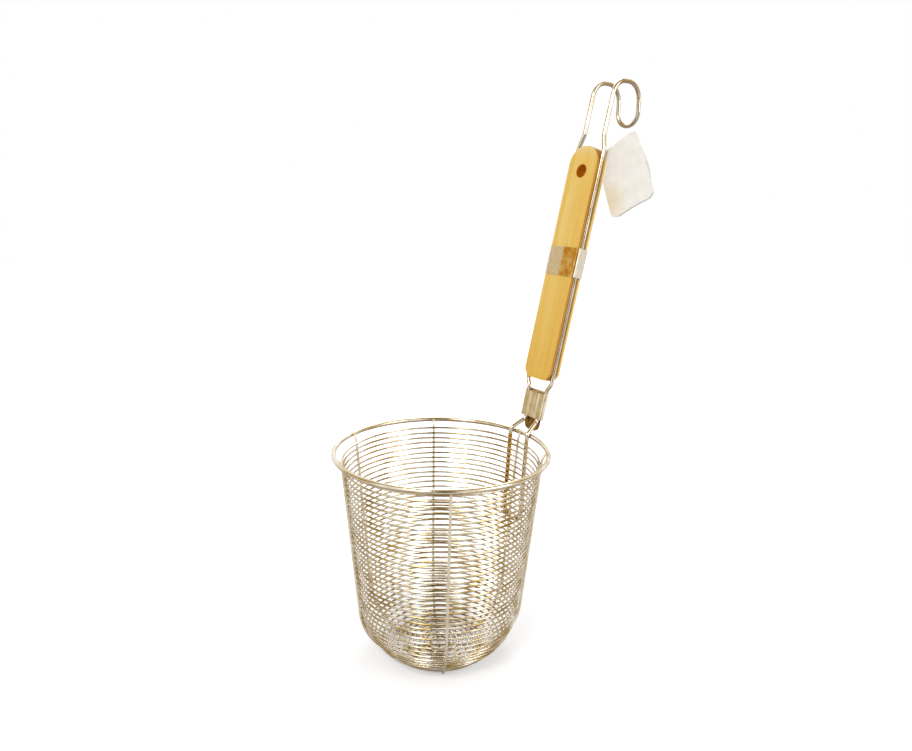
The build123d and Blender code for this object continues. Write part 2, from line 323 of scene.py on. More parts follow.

# %% [markdown]
# ## Bright wire
#
# The wire is drawn stainless steel with a warm reflection. Drawing leaves very fine lines along it, and
# handling dulls it in patches. A perfect mirror would look like chrome plate, so the roughness varies
# along the wire and the lines are a shallow relief. The lower side of each wire gets a painted shade of
# dark brown, so the colour there follows the direction that the surface faces. One finish could serve
# every wire, but the thin hoops are brightest and brownest, and the ribs are dulled the most.

# %% Wire finish
BELOW_SHADE_COLOUR = (0.15, 0.07, 0.004)
BELOW_SHADE_STARTS = (0.10, -0.40)      # upward share of a surface's direction where the painted shade begins and is full
PATCH_SIZE = 11 * MM
WIRE_TONES = (0.32, 0.62)        # of the noise, where a patch is fully dull and fully bright
DRAWN_LINES = (0.56, 0.024, 1.0)     # along the wire and round it, in steps of the unwrap


def wire_finish(name, bright, dull, smooth, rough, shade_share, relief):
    """Drawn wire: patches of two tones, a painted shade of brown below, and fine lines along its length,
    which is U.
    """
    material, shader = new_material(name)
    tree = material.node_tree
    geometry = tree.nodes.new("ShaderNodeNewGeometry")
    facing_up = split(tree, geometry.outputs["Normal"])["Z"]
    # Painted shade: the lower side of each wire darkens towards dark brown.
    shade_below = spread(tree, fades(tree, facing_up, *BELOW_SHADE_STARTS), 0.0, shade_share)
    patches = noise(tree, placed(tree, (PATCH_SIZE,) * 3), detail=3.0)
    colour = ramp(tree, patches, *zip(WIRE_TONES, (dull, bright)))
    tree.links.new(blended(tree, shade_below, colour, BELOW_SHADE_COLOUR), shader.inputs["Base Color"])
    lines = noise(tree, placed(tree, DRAWN_LINES, output="UV"), detail=5.0)
    tree.links.new(spread(tree, lines, smooth, rough), shader.inputs["Roughness"])
    bump(tree, shader, lines, relief)
    shader.inputs["Metallic"].default_value = 1.0
    return material


hoop_finish = wire_finish(
    "bright hoop wire", bright=(0.86, 0.79, 0.65), dull=(0.44, 0.30, 0.09),
    smooth=0.07, rough=0.18, shade_share=0.9, relief=0.05,
)
frame_finish = wire_finish(
    "bright frame wire", bright=(0.88, 0.81, 0.68), dull=(0.66, 0.54, 0.34),
    smooth=0.15, rough=0.20, shade_share=0.7, relief=0.01,
)
rib_finish = wire_finish(
    "dull rib wire", bright=(0.94, 0.88, 0.76), dull=(0.82, 0.71, 0.50),
    smooth=0.40, rough=0.52, shade_share=0.5, relief=0.01,
)
print("wire finishes:", hoop_finish.name, "|", frame_finish.name, "|", rib_finish.name)

# %% [markdown]
# ## A round wire along a path
#
# Each wire is a round section carried along its middle line. A curve object with a bevel would do it, but a
# skin made ring by ring stays a plain mesh, closes without a seam and can carry its own unwrapped
# coordinates: U runs along the wire and V round it, so that the drawn lines follow every bend.

# %% Round wire
UNWRAP_LENGTH = 20               # wire radii for one step of U


def made(skin, name):
    """The piece with the given skin, placed in the scene."""
    mesh = bpy.data.meshes.new(name)
    skin.to_mesh(mesh)
    skin.free()
    piece = bpy.data.objects.new(name, mesh)
    bpy.context.scene.collection.objects.link(piece)
    return piece


def tube(name, middle, radius, sides, closed=False, normal=None):
    """A round wire with square-cut ends, or an endless ring, along the points of its middle line."""
    count = len(middle)
    ahead = [middle[(i + 1) % count] if closed or i + 1 < count else middle[i] for i in range(count)]
    behind = [middle[i - 1] if closed or i > 0 else middle[i] for i in range(count)]
    runs = [(a - b).normalized() for a, b in zip(ahead, behind)]
    across = normal or runs[0].orthogonal().normalized()
    skin = bmesh.new()
    unwrap = skin.loops.layers.uv.new("wire")
    rings, marks = [], [0.0]
    for i, (point, run) in enumerate(zip(middle, runs)):
        if i:
            across = runs[i - 1].rotation_difference(run) @ across
            marks.append(marks[-1] + (point - middle[i - 1]).length)
        up = run.cross(across)
        angles = [2 * math.pi * k / sides for k in range(sides)]
        spokes = [math.cos(a) * across + math.sin(a) * up for a in angles]
        rings.append([skin.verts.new(point + radius * spoke) for spoke in spokes])
    marks.append(marks[-1] + (middle[0] - middle[-1]).length)
    for i in range(count if closed else count - 1):
        here, there = rings[i], rings[(i + 1) % count]
        for k in range(sides):
            m = (k + 1) % sides
            face = skin.faces.new((here[k], here[m], there[m], there[k]))
            face.smooth = True
            places = ((i, k), (i, k + 1), (i + 1, k + 1), (i + 1, k))
            for loop, (along, round_it) in zip(face.loops, places):
                loop[unwrap].uv = (marks[along] / (UNWRAP_LENGTH * radius), round_it / sides)
    if not closed:
        skin.faces.new(rings[0])
        skin.faces.new(rings[-1])
    bmesh.ops.recalc_face_normals(skin, faces=skin.faces)
    return made(skin, name)


def stands_for(piece, finish, slot_name, *nodes):
    """The piece gets its finish, rides on the one body and takes the place of its solids."""
    piece.data.materials.clear()
    piece.data.materials.append(finish)
    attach(piece, "root")
    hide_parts(*nodes)

# %% [markdown]
# ## Hoops and floor rings
#
# Thirty-nine hoops make the wall and eight rings the floor, all of the same thin wire, each bent to a circle
# and spot welded to the ribs. The solids say where each one is: their corners lie evenly round the middle of
# the wire, so the mean of the corners gives its radius and height. Hoops bent by hand are never quite
# round or level, so each gets its own slight waves, from its number. The floor rings stay level.

# %% Stations of the hoops
HOOP_WIRE = 1.1 * MM
HOOP_COUNT = 39
FLOOR_RING_COUNT = 8

hoop_names = [f"hoop_{i + 1:02d}" for i in range(HOOP_COUNT)]
ring_names = [f"floor_ring_{i + 1}" for i in range(FLOOR_RING_COUNT)]


def station_of(node):
    """The middle of a ring's wire, as its radius and height."""
    corners = [v.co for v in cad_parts[node].data.vertices]
    radius = sum(co.xy.length for co in corners) / len(corners)
    height = sum(co.z for co in corners) / len(corners)
    return Vector((radius, height))


stations = [station_of(node) for node in hoop_names + ring_names]
print("top hoop radius in mm:", round(stations[0].x / MM, 2), " last ring:", round(stations[-1].x / MM, 2))

# %% Hoops
HOOP_SHOWN = 1.4 * MM        # the round wire, sunk a little into the ribs where it is welded
HOOP_STEPS = 112
HOOP_SIDES = 10
WAVE_OUT = 0.12 * MM
WAVE_UP = 0.22 * MM
OUT_WAVE = (3, 2.4)          # waves in one turn, and the shift in radians from one hoop to the next
UP_WAVE = (2, 1.7)
UP_RIPPLE = (5, 0.9)
RIPPLE_SHARE = 0.5


def wave(a, number, form):
    """The swing from -1 to 1 of a hoop's wave at an angle round the basket."""
    per_turn, shift = form
    return math.sin(per_turn * a + shift * number)


def hand_bent_circle(station, number, steps):
    """A circle with slight waves of its own in radius and height."""
    points = []
    for k in range(steps):
        a = 2 * math.pi * k / steps
        radius = station.x + WAVE_OUT * wave(a, number, OUT_WAVE)
        up = WAVE_UP * (wave(a, number, UP_WAVE) + RIPPLE_SHARE * wave(a, number, UP_RIPPLE))
        points.append(Vector((radius * math.cos(a), radius * math.sin(a), station.y + up)))
    return points


for number, (node, station) in enumerate(zip(hoop_names + ring_names, stations)):
    circle = hand_bent_circle(station, number, HOOP_STEPS)
    if node in ring_names:
        circle = [Vector((p.x, p.y, station.y)) for p in circle]
    hoop = tube(node + "_wire", circle, HOOP_SHOWN / 2, HOOP_SIDES, closed=True, normal=Vector((0, 0, 1)))
    stands_for(hoop, hoop_finish, "hoop_wire", node)
print("hoops and rings:", len(stations))

# %% [markdown]
# ## Rim
#
# The mouth is stiffened by one heavy wire, butt welded into a ring. It is the brightest line of the basket,
# so it has more steps and sides than the hoops. A plain torus would lack the lines along the wire.

# %% Rim
RIM_WIRE = 3.2 * MM
RIM_STEPS = 180
HEAVY_SIDES = 20

rim_station = station_of("rim_ring")
rim_circle = [
    Vector((rim_station.x * math.cos(a), rim_station.x * math.sin(a), rim_station.y))
    for a in (2 * math.pi * k / RIM_STEPS for k in range(RIM_STEPS))
]
rim = tube("rim_wire", rim_circle, RIM_WIRE / 2, HEAVY_SIDES, closed=True, normal=Vector((0, 0, 1)))
stands_for(rim, frame_finish, "frame_wire", "rim_ring")
print("rim radius in mm:", round(rim_station.x / MM, 2), " height:", round(rim_station.y / MM, 2))

# %% [markdown]
# ## Bends
#
# A wire is bent over a round former, so its corners are arcs and its runs stay straight. The helper takes
# the corners of the route, with a radius for each bend, and gives the middle line. The handles of a curve
# could draw the same route, but would hide the radius of each bend.

# %% Bent middle line
BEND_STEP = math.radians(6)


def bent(points, radii):
    """The middle line of a bent wire: straight runs with a round bend at each inner point."""
    line = [points[0]]
    for before, corner, after, radius in zip(points, points[1:], points[2:], radii):
        back = (before - corner).normalized()
        on = (after - corner).normalized()
        half = back.angle(on) / 2
        centre = corner + (back + on).normalized() * (radius / math.sin(half))
        start = corner + back * (radius / math.tan(half)) - centre
        turn = math.pi - 2 * half
        axis = start.cross(corner - centre)
        steps = max(2, math.ceil(turn / BEND_STEP))
        line += [centre + Quaternion(axis, turn * k / steps) @ start for k in range(steps + 1)]
    line.append(points[-1])
    return line

# %% [markdown]
# ## Ribs
#
# A rib lies against the outside of every hoop, leans out at the top to the inside of the rim and runs on
# under the floor rings as a foot. It is bent from a few corners: those of the hoops' own outline, moved
# outwards by half of each wire.

# %% Rib lines
RIB_WIRE = 1.8 * MM
RIB_RISE = 2.0 * MM          # straight on past the top hoop
RIB_TIP_BEND = 4.0 * MM
RIB_FOOT = 6.0 * MM          # from the axis to the end of a single rib
SEAT = 0.05 * MM             # between wires that touch
KNEE = Vector((53.3, 18.9)) * MM     # a corner of the hoops' outline, as (r, z)
KNEE_BEND = 43.0 * MM
FLOOR_CORNER = 34.7 * MM     # the radius of its lower corner
FLOOR_BEND = 6.5 * MM
LONG_RIB_ANGLE = 60.5
SINGLE_RIB_ANGLES = {"rib_handle_side": 0.0, "rib_back": 119.0, "rib_left": 164.5, "rib_right": 319.5}


def wall_route(outwards):
    """The hoops' half outline moved outwards: top, knee, floor corner and middle, as (r, z)."""
    floor_height = stations[-1].y
    points = [stations[0], KNEE, Vector((FLOOR_CORNER, floor_height)), Vector((0.0, floor_height))]
    runs = [(b - a).normalized() for a, b in zip(points, points[1:])]
    normals = [Vector((-run.y, run.x)) for run in runs]
    pairs = zip([normals[0]] + normals, normals + [normals[-1]])
    return [p + (m + n) * (outwards / (1 + m.dot(n))) for p, (m, n) in zip(points, pairs)]


outwards = (HOOP_WIRE + RIB_WIRE) / 2 + SEAT
top, knee, corner, _ = wall_route(outwards)
turn_out = top + (top - knee).normalized() * RIB_RISE
to_rim = rim_station - turn_out
beside_rim = (RIM_WIRE + RIB_WIRE) / 2 + SEAT
tip_lean = math.atan2(to_rim.x, to_rim.y) - math.asin(beside_rim / to_rim.length)
tip_length = math.sqrt(to_rim.length ** 2 - beside_rim ** 2)
tip = turn_out + Vector((math.sin(tip_lean), math.cos(tip_lean))) * tip_length
rib_corners = [Vector((p.x, 0, p.y)) for p in (tip, turn_out, knee, corner)]
rib_bends = [RIB_TIP_BEND, KNEE_BEND + outwards, FLOOR_BEND + outwards]
print("rib tip radius and height in mm:", [round(c / MM, 1) for c in tip])

# %% Ribs
RIB_SIDES = 14


def turned(points, degrees):
    """The points turned round the basket's axis."""
    turn = Matrix.Rotation(math.radians(degrees), 3, "Z")
    return [turn @ p for p in points]


rib_foot = Vector((RIB_FOOT, 0, rib_corners[-1].z))
for node, angle in SINGLE_RIB_ANGLES.items():
    line = bent(rib_corners + [rib_foot], rib_bends)
    rib = tube(node + "_wire", turned(line, angle), RIB_WIRE / 2, RIB_SIDES)
    stands_for(rib, rib_finish, "frame_wire", node)

far_corners = [Vector((-p.x, 0, p.z)) for p in reversed(rib_corners)]
long_line = bent(rib_corners + far_corners, rib_bends + rib_bends[::-1])
long_rib = tube("rib_across_wire", turned(long_line, LONG_RIB_ANGLE), RIB_WIRE / 2, RIB_SIDES)
stands_for(long_rib, rib_finish, "frame_wire", "rib_across")
print("points in the long rib's line:", len(long_line))

# %% [markdown]
# ## The handle's own frame
#
# Everything on the handle leans with it. Three directions, across, through the thickness and along, turn a
# place on the wood into a place in the scene.

# %% Handle frame
LEAN = math.radians(13.2)
WOOD_FOOT = Vector((85.2, 0.0, 183.1)) * MM
WOOD_LENGTH = 165.0 * MM
WOOD_WIDTH = 26.6 * MM
WOOD_THICKNESS = 9.0 * MM

ALONG = Vector((math.sin(LEAN), 0.0, math.cos(LEAN)))
ACROSS = Vector((0.0, -1.0, 0.0))
THROUGH = ALONG.cross(ACROSS)


def on_handle(across, through, along):
    """A place given in the handle's own directions."""
    return WOOD_FOOT + ACROSS * across + THROUGH * through + ALONG * along


def both_legs(leg):
    """A leg's points, then their mirror images in reverse, so that the wire comes back down."""
    return leg + [Vector((p.x, -p.y, p.z)) for p in reversed(leg)]


print("through:", [round(c, 3) for c in THROUGH])

# %% [markdown]
# ## Bracket wire
#
# A narrow U of heavy wire lies over the rib on the handle's side and ties the basket to the sleeve. It could
# be swept in one go along a drawn curve, but it is bent from a few corners, as at the bench, so that each
# corner stays a size that can be read.

# %% Bracket wire
HEAVY_WIRE = 3.0 * MM
SLEEVE_TOP = 9.0 * MM        # below the wood's foot
SLEEVE_LENGTH = 19.2 * MM
HANDLE_LEG = 9.1 * MM        # from the middle of the sleeve to a leg of the handle wire
BRACKET_SPREAD = 9.0 * MM    # half the distance of the bracket's legs on the wall
BRACKET_FOOT = 81.0 * MM     # heights of its closed end and of its upper bends
BRACKET_SHOULDER = 146.9 * MM
BRACKET_BEND = 4.0 * MM
BRACKET_EXIT = 2.0 * MM      # straight run below the sleeve
CUT_END = 1.0 * MM           # from a sleeve edge in to the cut end of a leg
ROUND_END = 0.2 * MM         # how much smaller a closing bend is than half the spread of its legs

hoop_slope = (stations[0].x - KNEE.x) / (stations[0].y - KNEE.y)
hoop_here = stations[0].x - (stations[0].y - BRACKET_FOOT) * hoop_slope
over_rib = hoop_here + (HOOP_WIRE + HEAVY_WIRE) / 2 + RIB_WIRE + 3 * SEAT
beside = (HOOP_WIRE + HEAVY_WIRE) / 2 + SEAT
at_top = math.sqrt((stations[0].x + beside) ** 2 - BRACKET_SPREAD ** 2) + SEAT
rise = (at_top - over_rib) / (stations[0].y - BRACKET_FOOT)
shoulder = at_top + rise * (BRACKET_SHOULDER - stations[0].y)
inner = HANDLE_LEG - HEAVY_WIRE - SEAT
bracket_leg = [
    on_handle(-inner, 0, -SLEEVE_TOP - CUT_END),
    on_handle(-inner, 0, -SLEEVE_TOP - SLEEVE_LENGTH - BRACKET_EXIT),
    Vector((shoulder, BRACKET_SPREAD, BRACKET_SHOULDER)),
    Vector((over_rib, BRACKET_SPREAD, BRACKET_FOOT)),
]
bracket_bends = [BRACKET_BEND, BRACKET_BEND, BRACKET_SPREAD - ROUND_END]
bracket_line = bent(both_legs(bracket_leg), bracket_bends + bracket_bends[::-1])
bracket = tube("bracket_wire_round", bracket_line, HEAVY_WIRE / 2, HEAVY_SIDES)
print("points in the bracket's line:", len(bracket_line))

# %% [markdown]
# ## Bracket, browner below the rim
#
# Below the rim the bracket turns golden brown, one leg more than the other. The bracket keeps the frame
# wire's finish, and a second colour is laid over a copy of it. Painting the brown on the mesh would do as
# well, but it follows height and side, so it needs no painted map.

# %% Bracket, browner below the rim
BELOW_RIM_BROWN = (0.42, 0.21, 0.012)
BELOW_RIM_STARTS = (rim_station.y, rim_station.y - 3 * MM)       # heights where it begins and is full
BELOW_RIM_SHARES = (0.55, 1.00)      # on the leg at -Y and on the leg at +Y

bracket_finish = frame_finish.copy()
bracket_finish.name = "stained bracket wire"
tree, shader, clean = present_colour(bracket_finish)
place = split(tree, placed(tree))
below_rim = fades(tree, place["Z"], *BELOW_RIM_STARTS)
by_leg = spread(tree, fades(tree, place["Y"], -BRACKET_SPREAD, BRACKET_SPREAD), *BELOW_RIM_SHARES)
browned = blended(tree, product(tree, below_rim, by_leg), clean, BELOW_RIM_BROWN)
tree.links.new(browned, shader.inputs["Base Color"])
stands_for(bracket, bracket_finish, "frame_wire", "bracket_wire")
print("the stain starts at height in mm:", round(BELOW_RIM_STARTS[0] / MM, 1))

# %% [markdown]
# ## Handle wire
#
# Each leg leaves the sleeve, spreads to the wood's side grooves, draws in a little above the wood and turns
# over as the hook, where the two legs join in a round end. A single bent line makes sure that the hook stays
# one wire.

# %% Handle wire
GROOVE_INSET = 0.85 * MM     # from the wood's narrow side in to the middle of the wire
GROOVE_LEG = WOOD_WIDTH / 2 - GROOVE_INSET
LEG_SPREADS = 2.5 * MM       # the legs begin to spread this far above the sleeve's top
LEG_STRAIGHTENS = 2.0 * MM   # below the wood's foot
JOG_START = 1.0 * MM         # below the wood's top end
JOG_END = 9.0 * MM           # above the wood's top end
HOOK_SPREAD = 9.4 * MM
HOOK_RISE = 44.5 * MM
HOOK_DROP = 28.2 * MM
HOOK_REACH = 24.0 * MM
HOOK_BEND = 11.6 * MM
WIRE_BEND = 8.0 * MM

legs_top = on_handle(0, 0, WOOD_LENGTH + HOOK_RISE / ALONG.z)
handle_leg = [
    on_handle(-HANDLE_LEG, 0, -SLEEVE_TOP - SLEEVE_LENGTH + CUT_END),
    on_handle(-HANDLE_LEG, 0, -SLEEVE_TOP + LEG_SPREADS),
    on_handle(-GROOVE_LEG, 0, -LEG_STRAIGHTENS),
    on_handle(-GROOVE_LEG, 0, WOOD_LENGTH - JOG_START),
    on_handle(-HOOK_SPREAD, 0, WOOD_LENGTH + JOG_END),
    legs_top + Vector((0, HOOK_SPREAD, 0)),
    legs_top + Vector((HOOK_REACH, HOOK_SPREAD, 0)),
    legs_top + Vector((HOOK_REACH, HOOK_SPREAD, -HOOK_DROP)),
]
handle_bends = [WIRE_BEND] * 4 + [HOOK_BEND] * 2 + [HOOK_SPREAD - ROUND_END]
handle_line = bent(both_legs(handle_leg), handle_bends + handle_bends[::-1])
handle_wire = tube("handle_wire_round", handle_line, HEAVY_WIRE / 2, HEAVY_SIDES)
stands_for(handle_wire, frame_finish, "frame_wire", "handle_wire")
print("handle wire points:", len(handle_line))

# %% [markdown]
# ## Thin sheets
#
# Sleeve, tongue and tag are thin sheets with soft bends. Each is drawn as rows of points on one of its faces
# and then given its thickness, which keeps both faces parallel, as in real sheet.

# %% Thin sheet
EDGE_ANGLE = math.radians(40)    # corners sharper than this are edges


def thin_sheet(name, rows, thickness, closed=False):
    """A sheet through rows of points, thickened behind them; closed joins the ends of each row."""
    skin = bmesh.new()
    grid = [[skin.verts.new(p) for p in row] for row in rows]
    columns = len(rows[0])
    for here, there in zip(grid, grid[1:]):
        for k in range(columns if closed else columns - 1):
            m = (k + 1) % columns
            skin.faces.new((here[k], here[m], there[m], there[k])).smooth = True
    skin.normal_update()
    bmesh.ops.solidify(skin, geom=skin.faces[:], thickness=thickness)
    piece = made(skin, name)
    piece.data.set_sharp_from_angle(angle=EDGE_ANGLE)
    return piece


def rounded_end(depth, length, half_width, rounding):
    """Half the width of a strip at a depth along it, narrowed where its far corners are rounded."""
    past = max(0.0, depth - (length - rounding))
    return half_width - rounding + math.sqrt(max(0.0, rounding ** 2 - past ** 2))


def steps(start, end, count):
    """Evenly spaced values from start to end."""
    return [start + (end - start) * k / (count - 1) for k in range(count)]

# %% [markdown]
# ## Wood
#
# The handle is a slab of pale yellow hardwood, sawn, grooved along its narrow sides for the wire and rounded
# over at both ends. The slab is stacked from outlines: full width at each face, narrower between them where
# the groove runs. The hole is drilled with a boolean, and a small bevel breaks every edge, as sanding does.

# %% Wood outline
TOP_SHOULDER = (7.0 * MM, 8.0 * MM)      # cut off each upper corner, across and along the wood
FOOT_SHOULDER = (4.0 * MM, 5.0 * MM)     # the same for the lower corners
SHOULDER_BENDS = (5.0 * MM, 6.0 * MM, 12.0 * MM, 10.5 * MM)      # from the foot up

half_width = WOOD_WIDTH / 2
outline_corners = [
    Vector((0, 0, 0)),
    Vector((half_width - FOOT_SHOULDER[0], 0, 0)),
    Vector((half_width, 0, FOOT_SHOULDER[1])),
    Vector((half_width, 0, WOOD_LENGTH - TOP_SHOULDER[1])),
    Vector((half_width - TOP_SHOULDER[0], 0, WOOD_LENGTH)),
    Vector((0, 0, WOOD_LENGTH)),
]
one_side = bent(outline_corners, SHOULDER_BENDS)[1:-1]
slab_outline = one_side + [Vector((-p.x, 0, p.z)) for p in reversed(one_side)]
print("points in the wood's outline:", len(slab_outline))

# %% Grooved slab
GROOVE_WIDTH = 4.4 * MM
GROOVE_FLOOR = GROOVE_LEG - HEAVY_WIRE / 2 - SEAT
SAME_POINT = 0.001 * MM
LEVELS = (                       # through the wood, and how far it reaches there from the middle
    (-WOOD_THICKNESS / 2, half_width),
    (-GROOVE_WIDTH / 2, half_width),
    (-GROOVE_WIDTH / 2, GROOVE_FLOOR),
    (GROOVE_WIDTH / 2, GROOVE_FLOOR),
    (GROOVE_WIDTH / 2, half_width),
    (WOOD_THICKNESS / 2, half_width),
)

block = bmesh.new()
stack = []
for through, reach in LEVELS:
    clamped = [on_handle(max(-reach, min(reach, p.x)), through, p.z) for p in slab_outline]
    stack.append([block.verts.new(p) for p in clamped])
for here, there in zip(stack, stack[1:]):
    for k in range(len(here)):
        block.faces.new((here[k - 1], here[k], there[k], there[k - 1]))
block.faces.new(stack[0])
block.faces.new(stack[-1])
bmesh.ops.remove_doubles(block, verts=block.verts, dist=SAME_POINT)
bmesh.ops.recalc_face_normals(block, faces=block.faces)
wood = made(block, "wood")
for face in wood.data.polygons:
    face.use_smooth = True
print("slab:", len(wood.data.polygons), "faces")

# %% Hole and sanded edges
HOLE_DIAMETER = 9.0 * MM
HOLE_BELOW_TOP = 17.3 * MM
HOLE_PLACE = on_handle(0, 0, WOOD_LENGTH - HOLE_BELOW_TOP)
HOLE_SIDES = 48
EDGE_BREAK = 0.7 * MM
EDGE_STEPS = 3

drill_axis = [HOLE_PLACE - THROUGH * WOOD_THICKNESS, HOLE_PLACE + THROUGH * WOOD_THICKNESS]
drill = tube("drill", drill_axis, HOLE_DIAMETER / 2, HOLE_SIDES)
drilling = wood.modifiers.new("hole", "BOOLEAN")
drilling.operation = "DIFFERENCE"
drilling.object = drill
sanding = wood.modifiers.new("sanded edges", "BEVEL")
sanding.width = EDGE_BREAK
sanding.segments = EDGE_STEPS
sanding.limit_method = "ANGLE"
sanding.angle_limit = EDGE_ANGLE
sanding.harden_normals = True
bpy.context.view_layer.update()
wood.data = bpy.data.meshes.new_from_object(wood.evaluated_get(bpy.context.evaluated_depsgraph_get()))
wood.modifiers.clear()
bpy.data.objects.remove(drill)
print("wood:", len(wood.data.polygons), "faces")

# %% [markdown]
# ## Wood finish
#
# The grain runs straight along the handle: fine fibres over slow bands of tone, honey to straw, a little more
# orange towards the basket, with a painted highlight that pales the very top. The sawn grooves, the lips in
# front of them and the bore are painted a darker brown for the shade in them. A picture of wood could be
# wrapped round the slab, but tones laid along the handle's own directions run through every face, as real
# grain does.

# %% The handle's directions in a finish
TO_HANDLE = (0.0, LEAN, 0.0)
DROPPED = 1e6                    # a step so long that its coordinate drops out


def coordinate(tree, axis, size, origin):
    """One of the handle's own coordinates, counted from an origin in steps of the given size."""
    return split(tree, placed(tree, (size,) * 3, TO_HANDLE, origin))[axis]


def facing_sideways(tree):
    """How much a surface faces the handle's narrow sides, from 0 to 1."""
    geometry = tree.nodes.new("ShaderNodeNewGeometry")
    return without_sign(tree, split(tree, geometry.outputs["Normal"])["Y"])


def off_bore(tree):
    """How far a point lies from the axis of the hanging hole, in metres."""
    return length_of(tree, placed(tree, (DROPPED, 1.0, 1.0), TO_HANDLE, HOLE_PLACE))

# %% Grain
FIBRE_SIZE = (0.9 * MM, 0.7 * MM, 60 * MM)       # through, across and along the wood
SLOW_SIZE = (7 * MM, 6 * MM, 150 * MM)
FIBRE_TONES = ((0.30, (0.74, 0.40, 0.05)), (0.50, (0.83, 0.56, 0.13)), (0.72, (0.88, 0.65, 0.22)))
SLOW_TONES = ((0.35, (0.78, 0.45, 0.06)), (0.65, (0.87, 0.63, 0.19)))
SLOW_SHARE = 0.55
ORANGE = (0.78, 0.42, 0.03)
ORANGE_REACH = (0.60, 0.00)      # shares of the wood's length where the tone begins and is full
ORANGE_SHARE = 0.55
TOP_HIGHLIGHT_COLOUR = (0.88, 0.74, 0.42)
TOP_HIGHLIGHT_REACH = (0.955, 1.000)
TOP_HIGHLIGHT_SHARE = 0.5
WOOD_ROUGHNESS = (0.38, 0.60)

wood_finish, wood_shader = new_material("waxed pale wood")
tree = wood_finish.node_tree
fibres = noise(tree, placed(tree, FIBRE_SIZE, TO_HANDLE), detail=5.0, distortion=0.3)
slow = noise(tree, placed(tree, SLOW_SIZE, TO_HANDLE), detail=3.0, distortion=1.0)
grain = add_node(tree, "ShaderNodeMix", data_type="RGBA")
grain.inputs["Factor"].default_value = SLOW_SHARE
tree.links.new(ramp(tree, fibres, *FIBRE_TONES), grain.inputs["A"])
tree.links.new(ramp(tree, slow, *SLOW_TONES), grain.inputs["B"])
up_wood = coordinate(tree, "Z", WOOD_LENGTH, WOOD_FOOT)
low_down = spread(tree, fades(tree, up_wood, *ORANGE_REACH), 0.0, ORANGE_SHARE)
# Painted highlight: the top end of the wood turns paler.
top_highlight = spread(tree, fades(tree, up_wood, *TOP_HIGHLIGHT_REACH), 0.0, TOP_HIGHLIGHT_SHARE)
towards_orange = blended(tree, low_down, grain.outputs["Result"], ORANGE)
with_top_highlight = blended(tree, top_highlight, towards_orange, TOP_HIGHLIGHT_COLOUR)
tree.links.new(spread(tree, fibres, *WOOD_ROUGHNESS), wood_shader.inputs["Roughness"])
bump(tree, wood_shader, fibres, strength=0.25)
print("nodes in the grain:", len(tree.nodes))

# %% Painted shade on the lips, grooves and bore
LIP_SHADE = (0.52, 0.22, 0.012)
GROOVE_SHADE = (0.40, 0.16, 0.010)
BORE_SHADE = (0.50, 0.15, 0.0)
SIDE_FACING = (0.3, 0.7)         # how much a surface faces sideways where a narrow side begins and is full
LIP_EDGE = (-GROOVE_WIDTH / 2, -GROOVE_WIDTH / 2 - 0.5 * MM)     # through the wood
GROOVE_EDGE = (GROOVE_WIDTH / 2 + 0.9 * MM, GROOVE_WIDTH / 2 + 0.1 * MM)
BORE_EDGE = (4.9 * MM, 4.6 * MM)         # from the bore's axis

# Painted shade: the front lip, the groove and the bore are darkened towards brown.
through_wood = coordinate(tree, "X", 1.0, WOOD_FOOT)
narrow_side = fades(tree, facing_sideways(tree), *SIDE_FACING)
front_lip = product(tree, narrow_side, fades(tree, through_wood, *LIP_EDGE))
in_groove = product(tree, narrow_side, fades(tree, without_sign(tree, through_wood), *GROOVE_EDGE))
in_bore = fades(tree, off_bore(tree), *BORE_EDGE)
with_lip_shade = blended(tree, front_lip, with_top_highlight, LIP_SHADE)
with_groove_shade = blended(tree, in_groove, with_lip_shade, GROOVE_SHADE)
with_bore_shade = blended(tree, in_bore, with_groove_shade, BORE_SHADE)
tree.links.new(with_bore_shade, wood_shader.inputs["Base Color"])
stands_for(wood, wood_finish, "wood", "wood_handle")
print("nodes in the wood's finish:", len(tree.nodes))

# %% [markdown]
# ## Bore
#
# A drilled hole shows raw wood, which scatters light and hardly shines. How much a finish shines is one
# value for all of it, so the faces of the bore get a finish of their own: a copy of the wood's, nearly
# without shine.

# %% Bore
BORE_SHINE = 0.02
BORE_REACH = 4.7 * MM            # from the bore's axis, a little more than the drill's radius

bore_finish = wood_finish.copy()
bore_finish.name = "raw wood in the bore"
bore_shader = bore_finish.node_tree.nodes["Principled BSDF"]
bore_shader.inputs["Specular IOR Level"].default_value = BORE_SHINE
wood.data.materials.append(bore_finish)
bore_faces = 0
for face in wood.data.polygons:
    from_hole = face.center - HOLE_PLACE
    if math.hypot(from_hole.dot(ACROSS), from_hole.dot(ALONG)) < BORE_REACH:
        face.material_index = 1
        bore_faces += 1
print("faces in the bore:", bore_faces)

# %% [markdown]
# ## Neck sleeve
#
# One piece of sheet is wrapped round the two pairs of wires and pressed together between them. The press
# leaves a shallow valley with a few low ridges, and the front edge at the top gives way a little, so that
# the cut ends of the wires show. The back is cut longer and ends in a rounded tongue. A plain tube squeezed
# flat would be quicker, but the ridges are real form and catch the light, so the section is drawn with them.

# %% Sleeve section
SLEEVE_SHEET = 0.5 * MM
SLEEVE_HALF = HEAVY_WIRE / 2 + SEAT + SLEEVE_SHEET
VALLEY_REACH = 5.2 * MM
VALLEY_DEPTH = 0.75 * MM
VALLEY_FORM = 0.7            # under 1 the valley is flat in the middle and steep at its sides
RIDGE_HEIGHT = 0.10 * MM
RIDGE_PITCH = 2.9 * MM
FRONT_POINTS = 37
BACK_POINTS = 13
FOLD_STEPS = 12


